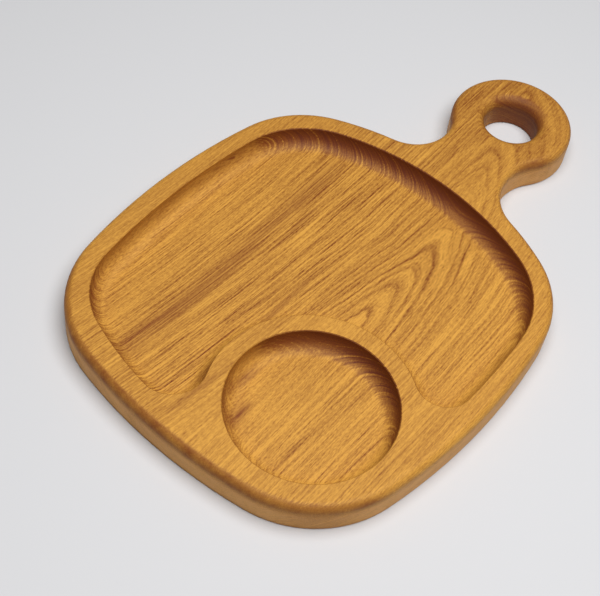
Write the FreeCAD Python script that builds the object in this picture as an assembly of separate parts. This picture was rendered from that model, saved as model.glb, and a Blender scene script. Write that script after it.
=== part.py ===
import FreeCAD, Part
import math
import os
from collections import namedtuple

from FreeCAD import Vector

# Serving board cut from one plank of oak: a rounded square body, a short neck and a ring to
# hang it by. The top carries a broad food recess, a round sauce pocket and the rib between them.
# Millimetres, +Z up. +X runs along the grain from the far end to the ring and +Y to the left of it.
# The outline is drawn about the body's broadest station. The finished board is then moved so that
# the origin lies on its underside, in the middle of its overall length and breadth.

# Plank
THICKNESS = 22.0

# Sauce pocket and what is left around it, which together set the body's length and breadth. A cove
# runs around its floor, up to an upright side.
POCKET_DIAMETER = 100.0
POCKET_TO_FAR_END = 21.0
POCKET_TO_HEAD = 148.5
POCKET_TO_RIGHT_SIDE = 23.5
RIB_WIDTH = 11.5
RIB_TO_LEFT_SIDE = 116.0
POCKET_DEPTH = 13.0
POCKET_COVE_RADIUS = 10.0

# Body outline, a chain of tangent arcs
FAR_END_TO_BROADEST = 133.5
FAR_END_RADIUS = 335.0
FAR_CORNER_RADIUS = 71.0
SIDE_RADIUS = 376.0
HEAD_CORNER_RADIUS = 66.0
HEAD_RADIUS = 188.0

# Neck and hanging ring
HEAD_TO_RING_CENTRE = 64.5
HOLE_DIAMETER = 36.0
RING_WALL = 22.5
NECK_RADIUS_LEFT = 27.0
NECK_RADIUS_RIGHT = 33.0

# Rounded and chamfered edges
TOP_EDGE_RADIUS = 5.0
HOLE_TOP_RADIUS = 7.0
FOOT_CHAMFER = 1.0
RIM_CHAMFER = 0.5

# Food recess, with the width of the rim left standing on each side of it and a cove like the
# pocket's. Beside the pocket's rib it ends in two rounded lobes.
RIM_FAR_END = 14.5
RIM_HEAD = 15.5
RIM_LEFT = 15.0
RIM_RIGHT = 12.5
RECESS_DEPTH = 13.0
RECESS_COVE_RADIUS = 10.0
RECESS_BROADEST_AHEAD = 4.0
RECESS_FAR_END_RADIUS = 232.0
RECESS_FAR_CORNER_RADIUS = 48.0
RECESS_SIDE_RADIUS = 450.0
RECESS_HEAD_CORNER_RADIUS = 60.0
RECESS_HEAD_RADIUS = 190.0
FAR_LOBE_RADIUS = 20.0
RIGHT_LOBE_RADIUS = 17.0

# Stations on the board's long axis, from the body's broadest station
BODY_LENGTH = POCKET_TO_FAR_END + POCKET_DIAMETER + POCKET_TO_HEAD
BODY_WIDTH = POCKET_TO_RIGHT_SIDE + POCKET_DIAMETER + RIB_WIDTH + RIB_TO_LEFT_SIDE
FAR_END_X = -FAR_END_TO_BROADEST
HEAD_X = BODY_LENGTH - FAR_END_TO_BROADEST
RING_X = HEAD_X + HEAD_TO_RING_CENTRE
RING_RADIUS = HOLE_DIAMETER / 2 + RING_WALL
TIP_X = RING_X + RING_RADIUS
HALF_WIDTH = BODY_WIDTH / 2
POCKET_RADIUS = POCKET_DIAMETER / 2
POCKET_CENTRE = Vector(
    FAR_END_X + POCKET_TO_FAR_END + POCKET_RADIUS,
    -HALF_WIDTH + POCKET_TO_RIGHT_SIDE + POCKET_RADIUS,
    0,
)

# How far a cutter stands above the face that it opens, and the tolerance for finding an edge
CUTTER_RISE = 1.0
FIND_TOLERANCE = 1e-4

# A circle of an outline. Its radius is negative where the outline bends inwards around it.
Circle = namedtuple("Circle", "centre radius")

LEFT, RIGHT = 1, -1


def tangent_circle(first, second, radius, side):
    """The circle of this radius that touches both, its centre on that side of the line between them."""
    across = second.centre - first.centre
    reach_first = abs(first.radius - radius)
    reach_second = abs(second.radius - radius)
    distance = across.Length
    along = (distance**2 + reach_first**2 - reach_second**2) / (2 * distance)
    away = math.sqrt(reach_first**2 - along**2)
    unit = across / distance
    normal = Vector(-unit.y, unit.x, 0)
    return Circle(first.centre + unit * along + normal * (side * away), radius)


def junction_angle(first, second):
    """The direction of the outline's outward normal where two tangent circles meet."""
    normal = (second.centre - first.centre) / (first.radius - second.radius)
    return math.atan2(normal.y, normal.x)


def point_on(circle, angle):
    return circle.centre + Vector(math.cos(angle), math.sin(angle), 0) * circle.radius


def outline(circles):
    """The closed wire that runs anticlockwise along a chain of tangent circles, or round a lone one."""
    count = len(circles)
    if count == 1:
        return Part.Wire([Part.makeCircle(circles[0].radius, circles[0].centre)])
    joints = [junction_angle(circles[i], circles[(i + 1) % count]) for i in range(count)]
    edges = []
    for i, circle in enumerate(circles):
        start, end = joints[i - 1], joints[i]
        turn = 1 if circle.radius > 0 else -1
        sweep = turn * ((turn * (end - start)) % (2 * math.pi))
        points = [point_on(circle, start + share * sweep) for share in (0.0, 0.5, 1.0)]
        edges.append(Part.Arc(*points).toShape())
    return Part.Wire(edges)


def grown(circles, distance):
    """The same chain with its outline moved outwards by this distance."""
    return [Circle(circle.centre, circle.radius + distance) for circle in circles]


def body_circles():
    """Far end, right side, head, neck, ring and back along the left side."""
    far_end = Circle(Vector(FAR_END_X + FAR_END_RADIUS, 0, 0), FAR_END_RADIUS)
    head = Circle(Vector(HEAD_X - HEAD_RADIUS, 0, 0), HEAD_RADIUS)
    ring = Circle(Vector(RING_X, 0, 0), RING_RADIUS)
    right_side = Circle(Vector(0, SIDE_RADIUS - HALF_WIDTH, 0), SIDE_RADIUS)
    left_side = Circle(Vector(0, HALF_WIDTH - SIDE_RADIUS, 0), SIDE_RADIUS)
    return [
        far_end,
        tangent_circle(far_end, right_side, FAR_CORNER_RADIUS, LEFT),
        right_side,
        tangent_circle(right_side, head, HEAD_CORNER_RADIUS, LEFT),
        head,
        tangent_circle(head, ring, -NECK_RADIUS_RIGHT, RIGHT),
        ring,
        tangent_circle(ring, head, -NECK_RADIUS_LEFT, RIGHT),
        head,
        tangent_circle(head, left_side, HEAD_CORNER_RADIUS, LEFT),
        left_side,
        tangent_circle(left_side, far_end, FAR_CORNER_RADIUS, LEFT),
    ]


def recess_circles():
    """The body's form again inside its rim, with a bay around the sauce pocket and its rib."""
    axis_y = (RIM_RIGHT - RIM_LEFT) / 2
    half_width = HALF_WIDTH - (RIM_RIGHT + RIM_LEFT) / 2
    far_end_x = FAR_END_X + RIM_FAR_END
    head_x = HEAD_X - RIM_HEAD
    side_drop = RECESS_SIDE_RADIUS - half_width
    far_end = Circle(Vector(far_end_x + RECESS_FAR_END_RADIUS, axis_y, 0), RECESS_FAR_END_RADIUS)
    head = Circle(Vector(head_x - RECESS_HEAD_RADIUS, axis_y, 0), RECESS_HEAD_RADIUS)
    right_side = Circle(Vector(RECESS_BROADEST_AHEAD, axis_y + side_drop, 0), RECESS_SIDE_RADIUS)
    left_side = Circle(Vector(RECESS_BROADEST_AHEAD, axis_y - side_drop, 0), RECESS_SIDE_RADIUS)
    bay = Circle(POCKET_CENTRE, -(POCKET_RADIUS + RIB_WIDTH))
    return [
        far_end,
        tangent_circle(far_end, bay, FAR_LOBE_RADIUS, RIGHT),
        bay,
        tangent_circle(bay, right_side, RIGHT_LOBE_RADIUS, RIGHT),
        right_side,
        tangent_circle(right_side, head, RECESS_HEAD_CORNER_RADIUS, LEFT),
        head,
        tangent_circle(head, left_side, RECESS_HEAD_CORNER_RADIUS, LEFT),
        left_side,
        tangent_circle(left_side, far_end, RECESS_FAR_CORNER_RADIUS, LEFT),
    ]


def slab(wire, bottom, height):
    """The solid that a flat wire sweeps upwards from this level."""
    solid = Part.Face(wire).extrude(Vector(0, 0, height))
    solid.translate(Vector(0, 0, bottom))
    return solid


def edges_on(solid, wire, level):
    """The solid's edges that lie along the wire when it is raised to this level."""
    raised = wire.copy()
    raised.translate(Vector(0, 0, level))
    found = []
    for edge in solid.Edges:
        middle = edge.valueAt((edge.FirstParameter + edge.LastParameter) / 2)
        if Part.Vertex(middle).distToShape(raised)[0] < FIND_TOLERANCE:
            found.append(edge)
    return found


def blank():
    """The sawn outline, rounded over on top and eased at its foot."""
    wire = outline(body_circles())
    solid = slab(wire, 0, THICKNESS)
    solid = solid.makeFillet(TOP_EDGE_RADIUS, edges_on(solid, wire, THICKNESS))
    return solid.makeChamfer(FOOT_CHAMFER, edges_on(solid, wire, 0))


def with_hanging_hole(solid):
    """The ring's hole, generously rounded on top where a finger or a hook goes in."""
    wire = outline([Circle(Vector(RING_X, 0, 0), HOLE_DIAMETER / 2)])
    solid = solid.cut(slab(wire, -CUTTER_RISE, THICKNESS + 2 * CUTTER_RISE))
    solid = solid.makeFillet(HOLE_TOP_RADIUS, edges_on(solid, wire, THICKNESS))
    return solid.makeChamfer(FOOT_CHAMFER, edges_on(solid, wire, 0))


def hollow_cutter(circles, depth, cove):
    """What a router with a round-nosed bit takes out: a flat floor and a cove up from it."""
    wire = outline(circles)
    floor = THICKNESS - depth
    cutter = slab(wire, floor, max(depth, cove) + CUTTER_RISE)
    return cutter.makeFillet(cove, edges_on(cutter, wire, floor))


def rim_cutter(circles):
    """A sloping edge all round that takes the corner off the rim at this outline."""
    wire = outline(grown(circles, RIM_CHAMFER))
    foot = THICKNESS - 2 * RIM_CHAMFER
    cutter = slab(wire, foot, 2 * RIM_CHAMFER + CUTTER_RISE)
    return cutter.makeChamfer(2 * RIM_CHAMFER, edges_on(cutter, wire, foot))


def with_hollow(solid, circles, depth, cove):
    """A hollow sunk into the top, its sharp rim taken off by a small chamfer."""
    solid = solid.cut(hollow_cutter(circles, depth, cove))
    cut_off = max(cove - depth, 0)
    lean_at_rim = cove - math.sqrt(cove**2 - cut_off**2)
    return solid.cut(rim_cutter(grown(circles, -lean_at_rim)))


def serving_board():
    board = with_hanging_hole(blank())
    board = with_hollow(board, recess_circles(), RECESS_DEPTH, RECESS_COVE_RADIUS)
    pocket = [Circle(POCKET_CENTRE, POCKET_RADIUS)]
    board = with_hollow(board, pocket, POCKET_DEPTH, POCKET_COVE_RADIUS)
    board.translate(Vector(-(FAR_END_X + TIP_X) / 2, 0, 0))
    return board


os.makedirs("parts", exist_ok=True)
serving_board().exportStep("parts/board.step")
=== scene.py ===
import math
from collections import namedtuple

import bpy
from bpy.props import FloatProperty, FloatVectorProperty, PointerProperty
from mathutils import Matrix, Vector

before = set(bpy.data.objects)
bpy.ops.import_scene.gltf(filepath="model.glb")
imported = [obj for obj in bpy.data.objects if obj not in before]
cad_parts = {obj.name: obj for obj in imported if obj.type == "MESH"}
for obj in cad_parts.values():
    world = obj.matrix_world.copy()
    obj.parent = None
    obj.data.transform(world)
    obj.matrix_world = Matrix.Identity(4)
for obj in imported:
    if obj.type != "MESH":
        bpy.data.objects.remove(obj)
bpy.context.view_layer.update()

bl_info = {
    "name": "Oak serving board",
    "version": (1, 0, 0),
    "blender": (4, 5, 0),
    "location": "View3D > Sidebar > Board",
    "description": "Gives the serving board its oiled oak and sets it on a pale floor in soft light",
    "category": "Material",
}

# The wood is worked out in millimetres, and Blender's own unit is the metre
MM_PER_METRE = 1000.0

# The level of the hollows' floor, and the station where the body is broadest
HOLLOW_FLOOR = 9.0
BODY_STATION_X = -53.75

# The photographed frame in pixels, the camera's sensor in millimetres and its near limit in metres
FRAME_WIDTH = 600
FRAME_HEIGHT = 596
SENSOR_WIDTH = 36.0
CLIP_START = 0.01

# How far the floor reaches each way, in metres, and how dull it is
FLOOR_REACH = 3.0
FLOOR_ROUGHNESS = 0.8


def display_colour(red, green, blue):
    """A colour given as it shows on screen, from 0 to 255, as the linear values that a shader takes."""
    def linear(channel):
        share = channel / 255
        return share / 12.92 if share <= 0.04045 else ((share + 0.055) / 1.055) ** 2.4

    return (linear(red), linear(green), linear(blue))


class OakSettings(bpy.types.PropertyGroup):
    """The growth and the finish of the oak."""

    late_wood: FloatVectorProperty(
        name="Late wood", description="The pale wood between two growth lines",
        default=display_colour(222, 162, 68), subtype="COLOR", min=0, max=1,
    )
    early_wood: FloatVectorProperty(
        name="Early wood", description="The brown of a growth line",
        default=display_colour(112, 42, 4), subtype="COLOR", min=0, max=1,
    )
    # Reddish wood is the own colour of the streaks and the ends' edges, and on the hollows' walls a painted
    # shade
    reddish_wood_and_shade: FloatVectorProperty(
        name="Reddish wood", description="The brown of the streaks, the hollows' walls and the ends' edges",
        default=display_colour(120, 56, 22), subtype="COLOR", min=0, max=1,
    )
    # The dark brown of the hollows' walls: end grain soaked with oil, and painted shade
    soaked_and_shaded_wall: FloatVectorProperty(
        name="End grain", description="The brown of the walls where oil has soaked into the end grain",
        default=display_colour(106, 51, 31), subtype="COLOR", min=0, max=1,
    )
    # The outer sides' colour is a painted light and sheen on their steep part below the rounded edge
    side_light_and_sheen: FloatVectorProperty(
        name="Outer side", description="The drier wood of the outer sides, below their rounded edge",
        default=display_colour(228, 172, 106), subtype="COLOR", min=0, max=1,
    )
    ring_width: FloatProperty(
        name="Ring width", description="Growth in one year, in millimetres",
        default=1.8, min=0.2, max=10,
    )
    pith_across: FloatProperty(
        name="Pith across", description="Where the log's pith lies across the board, in millimetres",
        default=-26.0, soft_min=-300, soft_max=300,
    )
    pith_above: FloatProperty(
        name="Pith above", description="How far the log's pith lies above the board's foot, in millimetres",
        default=193.0, min=40, soft_max=600,
    )
    taper: FloatProperty(
        name="Taper", description="How much the rings lean along the board",
        default=0.092, soft_min=-0.3, soft_max=0.3,
    )
    # How strongly the hollows' walls darken: oil in the end grain, and painted shade
    soaking_and_shade: FloatProperty(
        name="Soaking", description="How much the oil darkens the end grain",
        default=0.8, min=0, max=1, subtype="FACTOR",
    )
    roughness: FloatProperty(
        name="Roughness", description="Roughness of the oiled surface",
        default=0.58, min=0, max=1, subtype="FACTOR",
    )


class StudioSettings(bpy.types.PropertyGroup):
    """The floor, the light and the camera."""

    floor_colour: FloatVectorProperty(
        name="Floor", description="Colour of the floor",
        default=display_colour(217, 217, 219), subtype="COLOR", min=0, max=1,
    )
    sky_strength: FloatProperty(
        name="Sky", description="Strength of the even light from all round", default=0.10, min=0,
    )
    key_strength: FloatProperty(
        name="Soft box", description="Power of the soft box, in watts", default=18.0, min=0,
    )
    key_place: FloatVectorProperty(
        name="Soft box at", description="Where the soft box hangs",
        default=(-0.06, -0.2, 1.2), subtype="XYZ", unit="LENGTH",
    )
    key_size: FloatProperty(
        name="Soft box size", description="Diameter of the soft box",
        default=1.2, min=0.01, subtype="DISTANCE", unit="LENGTH",
    )
    view_azimuth: FloatProperty(
        name="Azimuth", description="Direction from the board to the camera, from +X towards +Y",
        default=math.radians(-145.25), subtype="ANGLE",
    )
    view_elevation: FloatProperty(
        name="Elevation", description="Height of the camera above the floor as an angle",
        default=math.radians(52.89), subtype="ANGLE",
    )
    view_roll: FloatProperty(
        name="Roll", description="Turn of the camera about its own line of sight",
        default=math.radians(8.50), subtype="ANGLE",
    )
    view_distance: FloatProperty(
        name="Distance", description="From the camera to the point that it looks at",
        default=0.80276, min=0.1, subtype="DISTANCE", unit="LENGTH",
    )
    view_target: FloatVectorProperty(
        name="Target", description="The point on the floor that the camera looks at",
        default=(-0.052273, 0.010878, 0.0), subtype="XYZ", unit="LENGTH",
    )
    focal_pixels: FloatProperty(
        name="Focal length", description="Focal length in pixels of the frame",
        default=1320.98, min=100,
    )


# A smooth step of a field, with the height that it reaches, and a layer of noise, with its size in
# millimetres and its weight
Ramp = namedtuple("Ramp", "start end height", defaults=(1.0,))
Layer = namedtuple("Layer", "length breadth weight detail", defaults=(1.0, 3.0))


class Socket:
    """An output of a shader node. Arithmetic on it adds Math nodes to the same tree."""

    def __init__(self, shader, output):
        self.shader = shader
        self.output = output

    def math(self, operation, *values):
        return self.shader.add("ShaderNodeMath", {"operation": operation}, (self, *values))

    def __add__(self, other):
        return self.math("ADD", other)

    def __mul__(self, other):
        return self.math("MULTIPLY", other)

    def __sub__(self, other):
        return self.math("SUBTRACT", other)

    def __truediv__(self, other):
        return self.math("DIVIDE", other)

    def __pow__(self, other):
        return self.math("POWER", other)

    def __rsub__(self, other):
        return self * -1 + other

    def __neg__(self):
        return self * -1

    def __abs__(self):
        return self.math("ABSOLUTE")

    __radd__ = __add__
    __rmul__ = __mul__

    def squared(self):
        return self * self

    def fraction(self):
        return self.math("FRACT")

    def whole(self):
        return self.math("FLOOR")

    def at_least(self, lowest):
        return self.math("MAXIMUM", lowest)

    def softened(self, breadth):
        """The distance from 0, rounded off within this breadth."""
        return (self.squared() + breadth**2) ** 0.5

    def bump(self, centre, width):
        """A bell, 1 high at the centre."""
        return (-((self - centre) / width).squared()).math("EXPONENT")

    def step(self, start, end):
        """Rises smoothly from 0 at start to 1 at end, or falls where start is the higher."""
        low, high = min(start, end), max(start, end)
        settings = {"interpolation_type": "SMOOTHSTEP"}
        rise = {"Value": self, "From Min": low, "From Max": high}
        risen = self.shader.add("ShaderNodeMapRange", settings, rise)
        return risen if start < end else 1 - risen

    def ramp(self, *ramps):
        """The sum of these steps, each times its height."""
        return sum(self.step(ramp.start, ramp.end) * ramp.height for ramp in ramps)


class Shader:
    """A material's node tree and the one method that adds a node to it."""

    def __init__(self, material):
        material.use_nodes = True
        self.tree = material.node_tree
        self.tree.nodes.clear()

    def add(self, kind, settings=(), values=(), output=0):
        """Adds a node with its settings, then its sockets' values or links, and returns one output."""
        node = self.tree.nodes.new(kind)
        for name, value in dict(settings).items():
            if name == "stops":
                self.set_stops(node.color_ramp, value)
            else:
                setattr(node, name, value)
        pairs = values.items() if isinstance(values, dict) else enumerate(values)
        for key, value in pairs:
            if isinstance(value, Socket):
                self.tree.links.new(value.output, node.inputs[key])
            else:
                node.inputs[key].default_value = value
        return Socket(self, node.outputs[output]) if node.outputs else None

    @staticmethod
    def set_stops(ramp, stops):
        """Gives a colour ramp its stops, each a place and a grey."""
        while len(ramp.elements) < len(stops):
            ramp.elements.new(0.5)
        for element, (place, grey) in zip(ramp.elements, stops):
            element.position = place
            element.color = (grey, grey, grey, 1.0)

    def vector(self, x, y, z):
        return self.add("ShaderNodeCombineXYZ", values=(x, y, z))

    def axes(self, vector):
        """The X, Y and Z of a vector."""
        node = self.add("ShaderNodeSeparateXYZ", values=(vector,)).output.node
        return [Socket(self, output) for output in node.outputs]

    def noise(self, vector, detail=2.0, roughness=0.5):
        """Noise about 0, from about -0.5 to 0.5, whose patches are about 1 across."""
        values = {"Vector": vector, "Scale": 1.0, "Detail": detail, "Roughness": roughness}
        return self.add("ShaderNodeTexNoise", {"noise_dimensions": "3D"}, values) - 0.5

    def noise_along(self, distance):
        """Plainer noise along a single distance."""
        values = {"W": distance, "Scale": 1.0, "Detail": 1.0}
        return self.add("ShaderNodeTexNoise", {"noise_dimensions": "1D"}, values) - 0.5

    def mix(self, share, first, second):
        """Two colours mixed, each a link or three numbers."""
        settings = {"data_type": "RGBA", "clamp_factor": True}
        colours = [c if isinstance(c, Socket) else (*c, 1.0) for c in (first, second)]
        values = {0: share, 6: colours[0], 7: colours[1]}
        return self.add("ShaderNodeMix", settings, values, output=2)


# How the rings lie. The log's pith runs above the board. Under it the rings lean along the board, from
# about its broadest station on, and fold into a soft ridge, so the floor cuts them as arches.
LEAN_SOFTNESS = 40.0
LEAN_BREADTH = 60.0
RIDGE = 0.44
RIDGE_BREADTH = 6.0
RIDGE_TILT = 0.13

# The log is bowed. Left of the ridge its lines sag in the middle, right of it they slant, and towards
# the head they bend to the left.
BOWED_SIDE = Ramp(-40.0, 10.0)
BOW = 0.00034
SLANT = 0.07
BEND_FROM = 70.0
BEND_ACROSS = Ramp(45.0, 0.0, 0.12)

# How far the rings stray from such plain forms: the millimetres of growth, and the length, breadth and
# height of the noise. Under the pith the short one is stronger, and the frayed one lies only there.
Stray = namedtuple("Stray", "growth length breadth height")
BROAD_STRAY = Stray(1.8, 110.0, 35.0, 30.0)
SHORT_STRAY = Stray(0.4, 24.0, 8.0, 8.0)
SHORT_STRAY_MORE_UNDER_PITH = 1.5
FRAYED_STRAY = Stray(0.3, 7.0, 2.5, 2.5)
UNDER_PITH_BREADTH = 45.0

# How uneven the years are: over how much growth, and by how much of a year
UNEVEN_GROWTH = 3.5
UNEVEN_YEARS = 0.9

# The bold arches under the pith towards the head, and the calm wood there towards the far end
ARCHES_BREADTH = 30.0
ARCHES_ALONG = Ramp(0.0, 40.0)
CALM_ACROSS, CALM_BREADTH = -24.0, 16.0
CALM_ALONG = Ramp(10.0, -20.0)

FIBRE_ROUGHNESS = 0.6


class Wood:
    """The log at a point of the board: where the point is, in millimetres, and which rings lie there."""

    def __init__(self, shader, oak):
        self.shader = shader
        place = shader.add("ShaderNodeTexCoord", output="Object")
        scaled = shader.add("ShaderNodeVectorMath", {"operation": "SCALE"},
                            {"Vector": place, "Scale": MM_PER_METRE})
        self.x, self.y, self.z = shader.axes(scaled)
        self.along = self.x - BODY_STATION_X
        bowed = self.y.ramp(BOWED_SIDE)
        bow = self.along.squared() * bowed * BOW
        self.side = self.y - bow - self.along * (1 - bowed) * SLANT
        bend = (self.along - BEND_FROM).at_least(0) * self.y.ramp(BEND_ACROSS)
        self.across = self.y - oak.pith_across - bow - bend
        self.arches = self.across.bump(0, ARCHES_BREADTH) * self.along.ramp(ARCHES_ALONG)
        self.calm = self.y.bump(CALM_ACROSS, CALM_BREADTH) * self.along.ramp(CALM_ALONG)
        self.depth = self.growth(oak) + self.waver()
        uneven = shader.noise_along(self.depth / UNEVEN_GROWTH) * UNEVEN_YEARS
        self.rings = self.depth / oak.ring_width + uneven

    def growth(self, oak):
        """Millimetres of growth outside the ring that lies in the hollows' floor under the pith."""
        above = oak.pith_above - self.z
        radius = (self.across.squared() + above.squared()) ** 0.5
        ridge = self.across.softened(RIDGE_BREADTH) * RIDGE + self.across * RIDGE_TILT
        lean = (self.along.softened(LEAN_SOFTNESS) + self.along) * 0.5
        leaning = lean * self.across.bump(0, LEAN_BREADTH) * oak.taper
        return radius + ridge + leaning - (oak.pith_above - HOLLOW_FLOOR)

    def stray(self, stray):
        spot = self.shader.vector(self.x / stray.length, self.y / stray.breadth, self.z / stray.height)
        return self.shader.noise(spot) * stray.growth

    def waver(self):
        """How far the rings stray from plain forms."""
        under_pith = self.across.bump(0, UNDER_PITH_BREADTH)
        short = self.stray(SHORT_STRAY) * (under_pith * SHORT_STRAY_MORE_UNDER_PITH + 1)
        return self.stray(BROAD_STRAY) + short + self.stray(FRAYED_STRAY) * under_pith

    def fibres(self, layer):
        """Streaks along the grain."""
        spot = self.shader.vector(self.x / layer.length, self.side / layer.breadth, self.z / layer.breadth)
        return self.shader.noise(spot, layer.detail, FIBRE_ROUGHNESS) * layer.weight

    def bands(self, layer):
        """Bands that follow the rings. Their breadth is in millimetres of growth."""
        spot = self.shader.vector(self.depth / layer.breadth, self.x / layer.length, 0)
        return self.shader.noise(spot, layer.detail) * layer.weight


# The body's outline as a superellipse a little inside its edge, and a circle inside the ring's. The ramps
# take the share of the way out to them, to the fourth power for the body and squared for the ring.
INNER_HALF_LENGTH, INNER_HALF_BREADTH = 126.0, 118.0
INNER_BODY = Ramp(1.1, 0.92)
RING_X = 147.0
INNER_RING_RADIUS = 29.0
INNER_RING = Ramp(1.15, 0.85, 0.8)

# End grain that faces the head counts less than end grain that faces away from it, where it also carries
# painted shade
HEADWARD_END_GRAIN_AND_SHADE = 0.4

# How patchy the outer sides are
PATCHES = Layer(8.0, 7.0)


class Surface:
    """How the board's surface lies at a point: which way it faces, and on which side of the rims it is."""

    def __init__(self, shader, wood):
        normal = shader.add("ShaderNodeNewGeometry", output="Normal")
        self.headward, _, upward = shader.axes(normal)
        # How end-on the surface is: end grain, weighted higher facing away from the head, which carries
        # painted shade
        self.end_on_and_shade = (-self.headward).at_least(self.headward * HEADWARD_END_GRAIN_AND_SHADE)
        self.tilt = 1 - abs(upward)
        self.inside = self.in_body(wood) + self.in_ring(wood)
        self.outside = 1 - self.inside
        self.patches = wood.fibres(PATCHES)

    @staticmethod
    def in_body(wood):
        length = (wood.along / INNER_HALF_LENGTH).squared()
        breadth = (wood.y / INNER_HALF_BREADTH).squared()
        return (length.squared() + breadth.squared()).ramp(INNER_BODY)

    @staticmethod
    def in_ring(wood):
        from_centre = (wood.x - RING_X).squared() + wood.y.squared()
        return (from_centre / INNER_RING_RADIUS**2).ramp(INNER_RING)


# Darkness across one year: the line of open pores, then ever paler wood until the next line nears
GROWTH_LINE = ((0.0, 0.7), (0.07, 0.9), (0.18, 0.55), (0.4, 0.3), (0.7, 0.0), (0.92, 0.12), (1.0, 0.7))

# How strong a growth line is: on the whole, by its year, fading along it, on the arches, in the calm
# wood, and at least
LINE_STRENGTH = 0.48
YEAR_STRENGTH = 0.35
FADING_LINES = Layer(28.0, 2.6, 1.5, detail=1.0)
ARCHES_STRENGTH = 0.15
CALM_STRENGTH = -0.8
LEAST_STRENGTH = 0.1

# Finer and broader lines along the rings. Some of them are stronger on the left half.
LEFT_HALF = Ramp(0.0, 30.0)
FINEST_BANDS = Layer(50.0, 0.6)
FINE_BANDS = Layer(60.0, 1.3)
FINE_BANDS_MORE_LEFT = 0.4
FINE_STRENGTH = 1.15
FINE_ON_ARCHES = -0.4
FINE_ON_CALM = -0.6
GROWTH_LINE_WEIGHT = 0.45
LEFT_BANDS = Layer(32.0, 1.7)
LEFT_BANDS_ANYWHERE = 0.1
LEFT_BANDS_MORE_LEFT = 0.8
BROAD_BANDS = Layer(150.0, 11.0, 0.55)

# Fibres along the grain, and pores, which are the peaks of such a layer
FIBRES = (Layer(60.0, 0.7, 0.8), Layer(16.0, 0.45, 0.8), Layer(2.5, 0.7, 1.25))
PORES = Layer(5.0, 0.45, detail=2.0)
PORES_FROM = 0.1
PORES_WEIGHT = 2.8

# The combs that the lines and fibres make in end grain, weighted by how end-on the surface is, which also
# carries painted shade
COMB_SHARE = 0.95
COMB_EARLY_WEIGHT = 0.7
COMB_FINE_WEIGHT = 2.1
COMB_FIBRES = Layer(30.0, 0.8, 2.0)


class Figure:
    """What the wood shows at a point of the board: its growth lines, finer lines, fibres and combs."""

    def __init__(self, shader, wood, surface):
        self.early = self.growth_lines(shader, wood)
        left = wood.y.ramp(LEFT_HALF)
        fine = wood.bands(FINEST_BANDS) + wood.bands(FINE_BANDS) * (left * FINE_BANDS_MORE_LEFT + 1)
        self.fine = fine * (wood.arches * FINE_ON_ARCHES + wood.calm * FINE_ON_CALM + FINE_STRENGTH)
        left_bands = wood.bands(LEFT_BANDS) * (left * LEFT_BANDS_MORE_LEFT + LEFT_BANDS_ANYWHERE)
        self.lines = self.early * GROWTH_LINE_WEIGHT + self.fine + left_bands + wood.bands(BROAD_BANDS)
        pores = (wood.fibres(PORES) - PORES_FROM).at_least(0) * PORES_WEIGHT
        self.grain = sum(wood.fibres(layer) for layer in FIBRES) + pores
        combs = self.early * COMB_EARLY_WEIGHT + self.fine * COMB_FINE_WEIGHT + wood.fibres(COMB_FIBRES)
        self.combed_and_shaded = surface.end_on_and_shade * (combs + COMB_SHARE)

    @staticmethod
    def growth_lines(shader, wood):
        """The dark lines of early wood, one a year, each of its own strength and fading here and there."""
        line = shader.add("ShaderNodeValToRGB", {"stops": GROWTH_LINE}, (wood.rings.fraction(),))
        year = shader.add("ShaderNodeTexWhiteNoise", {"noise_dimensions": "1D"},
                          {"W": wood.rings.whole()}, output="Value")
        strength = year * YEAR_STRENGTH + wood.bands(FADING_LINES) + LINE_STRENGTH
        strength = strength + wood.arches * ARCHES_STRENGTH + wood.calm * CALM_STRENGTH
        return line * strength.at_least(LEAST_STRENGTH)


# Where the lines fade: towards both sides, on the top, and on slopes. On a slope they fade more from the
# middle to the far end and less where it faces the head. On the outer sides only the rounded edge counts.
SIDE_FADES = (Ramp(60.0, 85.0, 0.3), Ramp(-35.0, -60.0, 0.2), Ramp(15.0, 35.0, 0.12))
TOP = Ramp(12.0, 21.0)
TOP_FADE = 0.3
SLOPE = Ramp(0.002, 0.06)
SLOPE_FADE = 0.4
SLOPE_FADE_ALONG = Ramp(60.0, 20.0, 0.4)
SLOPE_FADE_HEADWARD = Ramp(0.0, 0.3, -0.6)
ROUNDED_EDGE = Ramp(13.0, 17.0)

# Darkness without any lines: on the whole, across and along the board, and on its top, where the grain
# is calmer
GROUND = 0.18
GROUND_ACROSS = Ramp(-50.0, 40.0, 0.08)
GROUND_ALONG = (Ramp(-20.0, 60.0, 0.04), Ramp(150.0, 190.0, 0.14))
GROUND_ON_TOP = 0.04
GRAIN_ON_TOP = -0.25


def darkness(wood, surface, figure):
    """How dark the wood is, from 0 for late wood to 1 for early wood."""
    slope_fade = wood.along.ramp(SLOPE_FADE_ALONG) + SLOPE_FADE
    slope_fade = slope_fade * (surface.headward.ramp(SLOPE_FADE_HEADWARD) + 1)
    slope_fade = slope_fade * (wood.z.ramp(ROUNDED_EDGE) * surface.outside + surface.inside)
    top = wood.z.ramp(TOP)
    strength = 1 - surface.tilt.ramp(SLOPE) * slope_fade - top * TOP_FADE - wood.y.ramp(*SIDE_FADES)
    ground = wood.y.ramp(GROUND_ACROSS) + wood.along.ramp(*GROUND_ALONG) + top * GROUND_ON_TOP + GROUND
    return figure.lines * strength + figure.grain * (top * GRAIN_ON_TOP + 1) + ground


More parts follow.
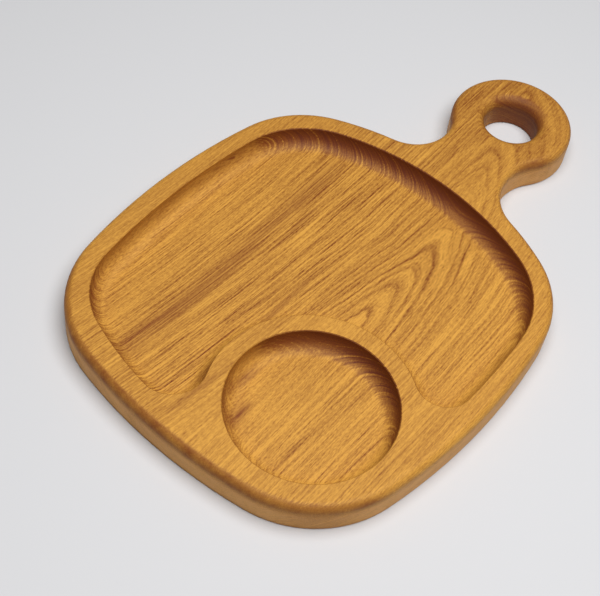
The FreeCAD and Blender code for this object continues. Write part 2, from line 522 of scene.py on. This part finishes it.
# Reddish streaks: where each lies across the board, its breadth, the stations between which it runs, its
# strength, and the level about which it ends on a wall. They all run slightly to the left. The first two
# make the broad streak of the recess. Two smudges lie in the pocket, and the last one crosses the far rim.
Streak = namedtuple("Streak", "across breadth start end strength top")
STREAKS = (
    Streak(55.0, 6.0, -125.0, 115.0, 0.85, 15.0),
    Streak(56.5, 3.5, -92.0, -28.0, 0.25, 15.0),
    Streak(11.5, 2.0, -85.0, 15.0, 0.8, 15.0),
    Streak(43.0, 1.2, -30.0, 75.0, 0.6, 15.0),
    Streak(-5.2, 2.4, -84.0, -58.0, 1.4, 15.0),
    Streak(-14.2, 3.0, -101.0, -79.0, 1.4, 15.0),
    Streak(1.5, 1.6, -128.0, -78.0, 0.6, 30.0),
)
STREAK_RUN = 0.048
STREAK_FULL_BELOW, STREAK_GONE_ABOVE = 3.0, 4.0
STREAK_SHARE = 0.45
STREAK_EARLY_WEIGHT = 0.3
STREAK_FIBRES = (Layer(60.0, 0.7), Layer(50.0, 4.0))


def streaked(wood, figure):
    """How reddish the wood is where its streaks run."""
    place = wood.side - wood.along * STREAK_RUN
    streaks = 0
    for streak in STREAKS:
        half_length = (streak.end - streak.start) / 2
        from_middle = (wood.along - (streak.start + half_length)) / half_length
        height = wood.z.step(streak.top + STREAK_GONE_ABOVE, streak.top - STREAK_FULL_BELOW)
        within = from_middle.squared().bump(0, 1) * height
        streaks = place.bump(streak.across, streak.breadth) * within * streak.strength + streaks
    uneven = figure.early * STREAK_EARLY_WEIGHT + sum(wood.fibres(layer) for layer in STREAK_FIBRES)
    return streaks * (uneven + STREAK_SHARE)


# The steep outer sides are painted lighter and greyer, a painted light and sheen. End grain is reddish on
# the rounded edge, and darker and redder towards the foot.
STEEP = Ramp(0.3, 0.9)
BELOW_EDGE = Ramp(18.0, 11.0)
SIDE_LIGHT_SHARE, SIDE_LIGHT_PATCHES = 0.6, 0.8
EDGE_END_GRAIN = Ramp(0.03, 0.45)
EDGE_LEVELS = Ramp(12.5, 18.5)
EDGE_SHARE, EDGE_PATCHES = 0.62, 1.1
# Towards the foot the end grain of the outer sides is darker and redder
FOOT_LEVELS = Ramp(4.0, 0.0, 0.5)


def painted_side_light(wood, surface):
    """How much painted light and sheen the outer sides get below their rounded edge."""
    patchy = surface.patches * SIDE_LIGHT_PATCHES + SIDE_LIGHT_SHARE
    return surface.tilt.ramp(STEEP) * wood.z.ramp(BELOW_EDGE) * patchy * surface.outside


def mottled(wood, surface):
    """How reddish the end grain of the outer sides is."""
    patchy = surface.patches * EDGE_PATCHES + EDGE_SHARE
    edge = surface.end_on_and_shade.ramp(EDGE_END_GRAIN) * wood.z.ramp(EDGE_LEVELS) * patchy
    return (edge + surface.end_on_and_shade * wood.z.ramp(FOOT_LEVELS)) * surface.outside


# The walls of the hollows and the hole are painted warmer and darker, a painted shade, with a little of it
# elsewhere. From about the pocket's middle to the ring their end grain is darker still, partly oil soaked
# in and partly painted shade, a little less in upright walls.
HOLLOW_SHADE_ELSEWHERE = 0.05
WARM_SHADE_END_GRAIN = Ramp(0.05, 0.4, 0.6)
WARM_SHADE_SLOPE = Ramp(0.05, 0.6, 0.3)
SOAKED_SHADED_ALONG = Ramp(-80.0, -50.0)
SOAKED_SHADED_END_GRAIN = Ramp(0.25, 1.2)
# Upright walls take less of the darkening: painted light against the shade they already get from the lamp
UPRIGHT_PAINTED_LIGHT = Ramp(0.5, 1.0, -0.2)
SOAKED_SHADED_SHARE = 1.1
SOAKED_SHADED_GRAIN_WEIGHT = 0.5
SOAKED_SHADED_FINE_WEIGHT = 0.7


def oiled(surface):
    """How much painted shade the hollows and the hole get, with a little elsewhere."""
    return surface.inside * (1 - HOLLOW_SHADE_ELSEWHERE) + HOLLOW_SHADE_ELSEWHERE


def warmed_and_shaded(surface, figure):
    """How warm and dark the walls are painted, a painted shade that is stronger on end grain."""
    return (figure.combed_and_shaded.ramp(WARM_SHADE_END_GRAIN) + surface.tilt.ramp(WARM_SHADE_SLOPE)) * oiled(surface)


def soaked(wood, surface, figure):
    """How dark the walls' end grain is: partly oil soaked into it, partly painted shade."""
    uneven = figure.grain * SOAKED_SHADED_GRAIN_WEIGHT + figure.fine * SOAKED_SHADED_FINE_WEIGHT + SOAKED_SHADED_SHARE
    oil = oiled(surface) * wood.along.ramp(SOAKED_SHADED_ALONG) * (surface.tilt.ramp(UPRIGHT_PAINTED_LIGHT) + 1)
    return figure.combed_and_shaded.ramp(SOAKED_SHADED_END_GRAIN) * uneven * oil


def oak_colour(shader, wood, oak):
    """The colour of the oiled wood, with painted light and sheen on its outer sides and painted shade on
    its walls.
    """
    surface = Surface(shader, wood)
    figure = Figure(shader, wood, surface)
    colour = shader.mix(darkness(wood, surface, figure), oak.late_wood, oak.early_wood)
    colour = shader.mix(streaked(wood, figure), colour, oak.reddish_wood_and_shade)
    # The outer sides lighter and greyer: painted light and sheen
    colour = shader.mix(painted_side_light(wood, surface), colour, oak.side_light_and_sheen)
    colour = shader.mix(mottled(wood, surface), colour, oak.reddish_wood_and_shade)
    # The hollows' walls warmer and darker: painted shade
    colour = shader.mix(warmed_and_shaded(surface, figure), colour, oak.reddish_wood_and_shade)
    # The walls' end grain darker: oil soaked into it, and painted shade
    return shader.mix(soaked(wood, surface, figure) * oak.soaking_and_shade, colour, oak.soaked_and_shaded_wall)


# The oil's gloss, and the fine relief of the fibres, in millimetres
OIL_IOR = 1.45
OIL_SPECULAR = 0.28
GLOSS_FIBRES = Layer(20.0, 1.0, 0.2)
RELIEF_FIBRES = Layer(20.0, 0.5, detail=4.0)
RELIEF_DEPTH = 0.1
RELIEF_STRENGTH = 0.25


def oiled_oak(oak):
    """The board's material."""
    material = bpy.data.materials.new("oiled_oak")
    shader = Shader(material)
    wood = Wood(shader, oak)
    relief = shader.add("ShaderNodeBump", values={
        "Strength": RELIEF_STRENGTH,
        "Distance": RELIEF_DEPTH / MM_PER_METRE,
        "Height": wood.fibres(RELIEF_FIBRES),
    })
    surface = shader.add("ShaderNodeBsdfPrincipled", values={
        "Base Color": oak_colour(shader, wood, oak),
        "Roughness": wood.fibres(GLOSS_FIBRES) + oak.roughness,
        "Normal": relief,
        "IOR": OIL_IOR,
        "Specular IOR Level": OIL_SPECULAR,
    })
    shader.add("ShaderNodeOutputMaterial", values=(surface,))
    return material


class BOARD_OT_finish(bpy.types.Operator):
    """Give the board its oiled oak"""

    bl_idname = "board.finish"
    bl_label = "Oil the board"

    def execute(self, context):
        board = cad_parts["board"]
        material = oiled_oak(context.scene.board_oak)
        for slot in board.material_slots:
            slot.material = material
        return {"FINISHED"}


def flat_material(name, colour, roughness):
    material = bpy.data.materials.new(name)
    shader = Shader(material)
    surface = shader.add("ShaderNodeBsdfPrincipled", values={
        "Base Color": (*colour, 1.0), "Roughness": roughness,
    })
    shader.add("ShaderNodeOutputMaterial", values=(surface,))
    return material


def lay_floor(studio):
    """One broad pale sheet under the board."""
    mesh = bpy.data.meshes.new("floor")
    corners = [(x * FLOOR_REACH, y * FLOOR_REACH, 0) for x, y in ((-1, -1), (1, -1), (1, 1), (-1, 1))]
    mesh.from_pydata(corners, [], [(0, 1, 2, 3)])
    mesh.materials.append(flat_material("pale_floor", studio.floor_colour, FLOOR_ROUGHNESS))
    floor = bpy.data.objects.new("floor", mesh)
    bpy.context.scene.collection.objects.link(floor)


def light_sky(studio):
    world = bpy.data.worlds.new("studio")
    bpy.context.scene.world = world
    world.use_nodes = True
    background = world.node_tree.nodes["Background"]
    background.inputs["Color"].default_value = (1, 1, 1, 1)
    background.inputs["Strength"].default_value = studio.sky_strength


def hang_soft_box(studio):
    """A round lamp that looks down at the board."""
    data = bpy.data.lights.new("soft_box", "AREA")
    data.shape = "DISK"
    data.size = studio.key_size
    data.energy = studio.key_strength
    place = Vector(studio.key_place)
    turned = (-place).to_track_quat("-Z", "Y").to_matrix().to_4x4()
    lamp = bpy.data.objects.new("soft_box", data)
    lamp.matrix_world = Matrix.Translation(place) @ turned
    bpy.context.scene.collection.objects.link(lamp)


def set_camera(studio):
    """The camera at the photograph's angle, rolled about its line of sight."""
    azimuth, elevation, roll = studio.view_azimuth, studio.view_elevation, studio.view_roll
    back = Vector((math.cos(elevation) * math.cos(azimuth),
                   math.cos(elevation) * math.sin(azimuth),
                   math.sin(elevation)))
    level = back.cross(Vector((0, 0, -1))).normalized()
    rise = back.cross(level)
    right = level * math.cos(roll) + rise * math.sin(roll)
    upward = rise * math.cos(roll) - level * math.sin(roll)
    place = Vector(studio.view_target) + back * studio.view_distance
    data = bpy.data.cameras.new("camera")
    data.sensor_width = SENSOR_WIDTH
    data.lens = studio.focal_pixels * SENSOR_WIDTH / max(FRAME_WIDTH, FRAME_HEIGHT)
    data.clip_start = CLIP_START
    camera = bpy.data.objects.new("camera", data)
    turned = Matrix((right, upward, back)).transposed().to_4x4()
    camera.matrix_world = Matrix.Translation(place) @ turned
    bpy.context.scene.collection.objects.link(camera)
    bpy.context.scene.camera = camera


class BOARD_OT_stage(bpy.types.Operator):
    """Set the pale floor, the soft light and the camera"""

    bl_idname = "board.stage"
    bl_label = "Set the stage"

    def execute(self, context):
        studio = context.scene.board_studio
        lay_floor(studio)
        light_sky(studio)
        hang_soft_box(studio)
        set_camera(studio)
        context.scene.view_settings.view_transform = "Standard"
        return {"FINISHED"}


class BOARD_PT_panel(bpy.types.Panel):
    """The board's settings and steps in the sidebar of the 3D view"""

    bl_idname = "BOARD_PT_panel"
    bl_label = "Serving board"
    bl_space_type = "VIEW_3D"
    bl_region_type = "UI"
    bl_category = "Board"

    def draw(self, context):
        for group, operator in (
            (context.scene.board_oak, BOARD_OT_finish),
            (context.scene.board_studio, BOARD_OT_stage),
        ):
            box = self.layout.box()
            for name in group.__annotations__:
                box.prop(group, name)
            box.operator(operator.bl_idname)


CLASSES = (OakSettings, StudioSettings, BOARD_OT_finish, BOARD_OT_stage, BOARD_PT_panel)


def register():
    for cls in CLASSES:
        bpy.utils.register_class(cls)
    bpy.types.Scene.board_oak = PointerProperty(type=OakSettings)
    bpy.types.Scene.board_studio = PointerProperty(type=StudioSettings)


def unregister():
    del bpy.types.Scene.board_studio
    del bpy.types.Scene.board_oak
    for cls in reversed(CLASSES):
        bpy.utils.unregister_class(cls)


def main():
    register()
    bpy.ops.board.finish()
    bpy.ops.board.stage()


if __name__ == "__main__":
    main()
